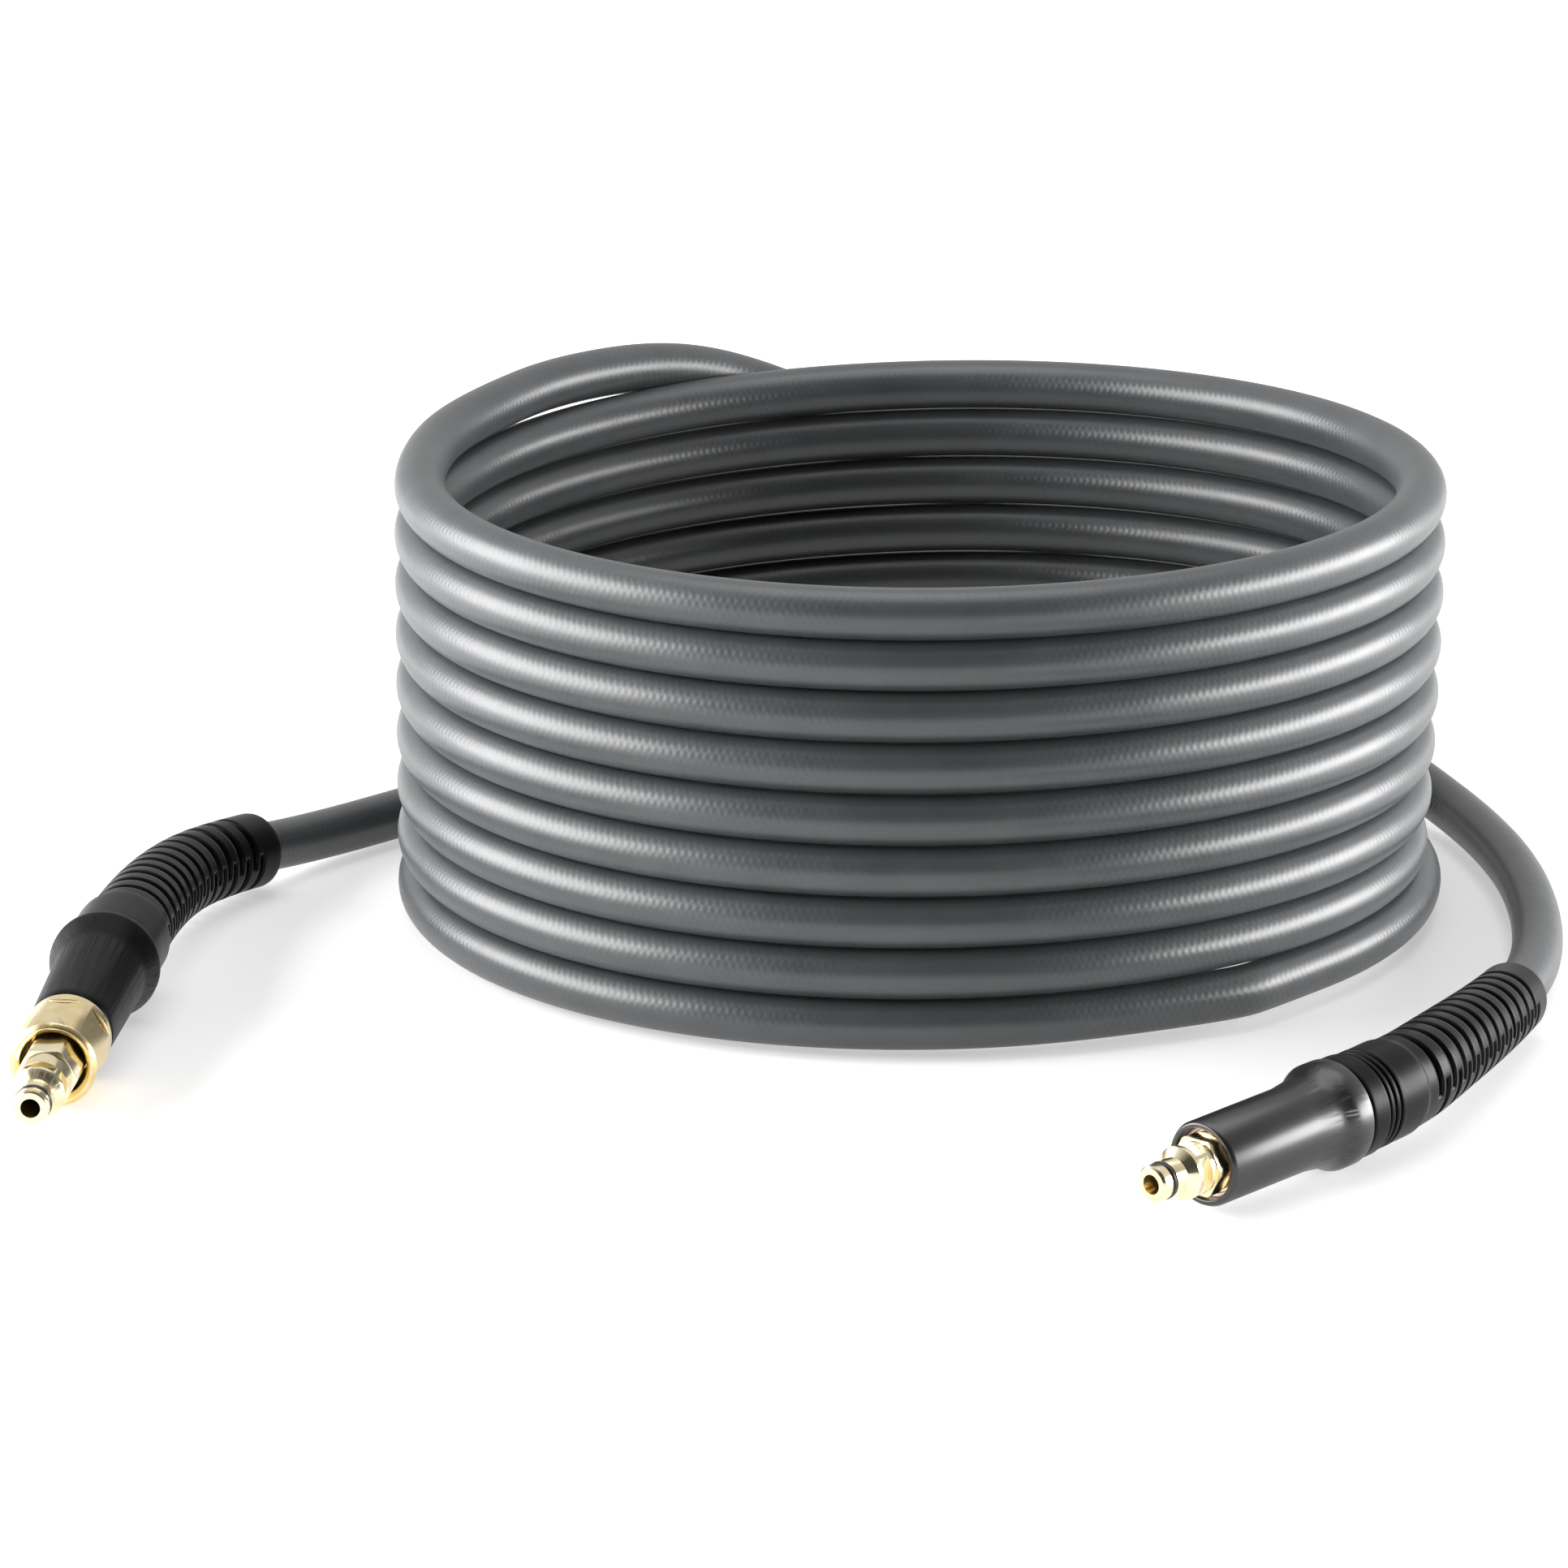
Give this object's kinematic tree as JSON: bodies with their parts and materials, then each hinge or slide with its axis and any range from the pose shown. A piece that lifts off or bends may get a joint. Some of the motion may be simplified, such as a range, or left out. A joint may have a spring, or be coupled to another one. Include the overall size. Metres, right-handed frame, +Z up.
{
  "type": "pressure hose",
  "caption": "Coiled flexible pressure hose with ribbed bend guards, a plug end with a captive union nut, and a plug end on a rotary anti-twist barrel.",
  "frame": {"origin": "middle of the layout's box, on the floor that the coil and both ends rest on", "axes": "+Z up along the coil's axis, +X to the right and -Y to the front, where both ends lie"},
  "size_m": [0.4789, 0.514, 0.1543],
  "materials": {
    "hose": "satin grey cover with a fine braid showing through",
    "guard": "matt moulded rubber",
    "steel": "zinc plated",
    "grip": "fine moulded texture",
    "washer": "plated",
    "brass_nut": "turned, slightly darkened",
    "brass": "bright turned",
    "seal": "matt",
    "bearing": "natural acetal",
    "barrel": "gloss",
    "copper": "satin"
  },
  "bodies": {
    "hose": {"hose_coil": "hose", "hose_tail_machine": "hose", "hose_tail_gun": "hose", "machine_bend_guard": "guard", "gun_bend_guard": "guard", "machine_ferrule": "steel", "gun_ferrule": "steel", "machine_hose_stem": "steel", "swivel_stem": "steel", "swivel_clip": "steel", "machine_sleeve": "grip", "union_slip_ring": "washer", "machine_plug": "brass", "machine_plug_ring": "seal"},
    "union_nut": {"union_nut": "brass_nut"},
    "swivel": {"swivel_barrel": "barrel", "swivel_body": "brass", "swivel_bush": "bearing", "swivel_seal": "seal", "barrel_end_ring": "copper", "gun_plug": "brass", "gun_plug_ring": "seal"}
  },
  "joints": [
    {"name": "union_nut_turn", "type": "hinge", "parent": "hose", "child": "union_nut", "pos_m": [-0.22493, -0.12922, 0.01393], "axis": [-0.1079, -0.9931, -0.0451], "continuous": true},
    {"name": "swivel_turn", "type": "hinge", "parent": "hose", "child": "swivel", "pos_m": [0.13387, -0.21705, 0.01557], "axis": [-0.6942, -0.7189, -0.0349], "continuous": true}
  ]
}
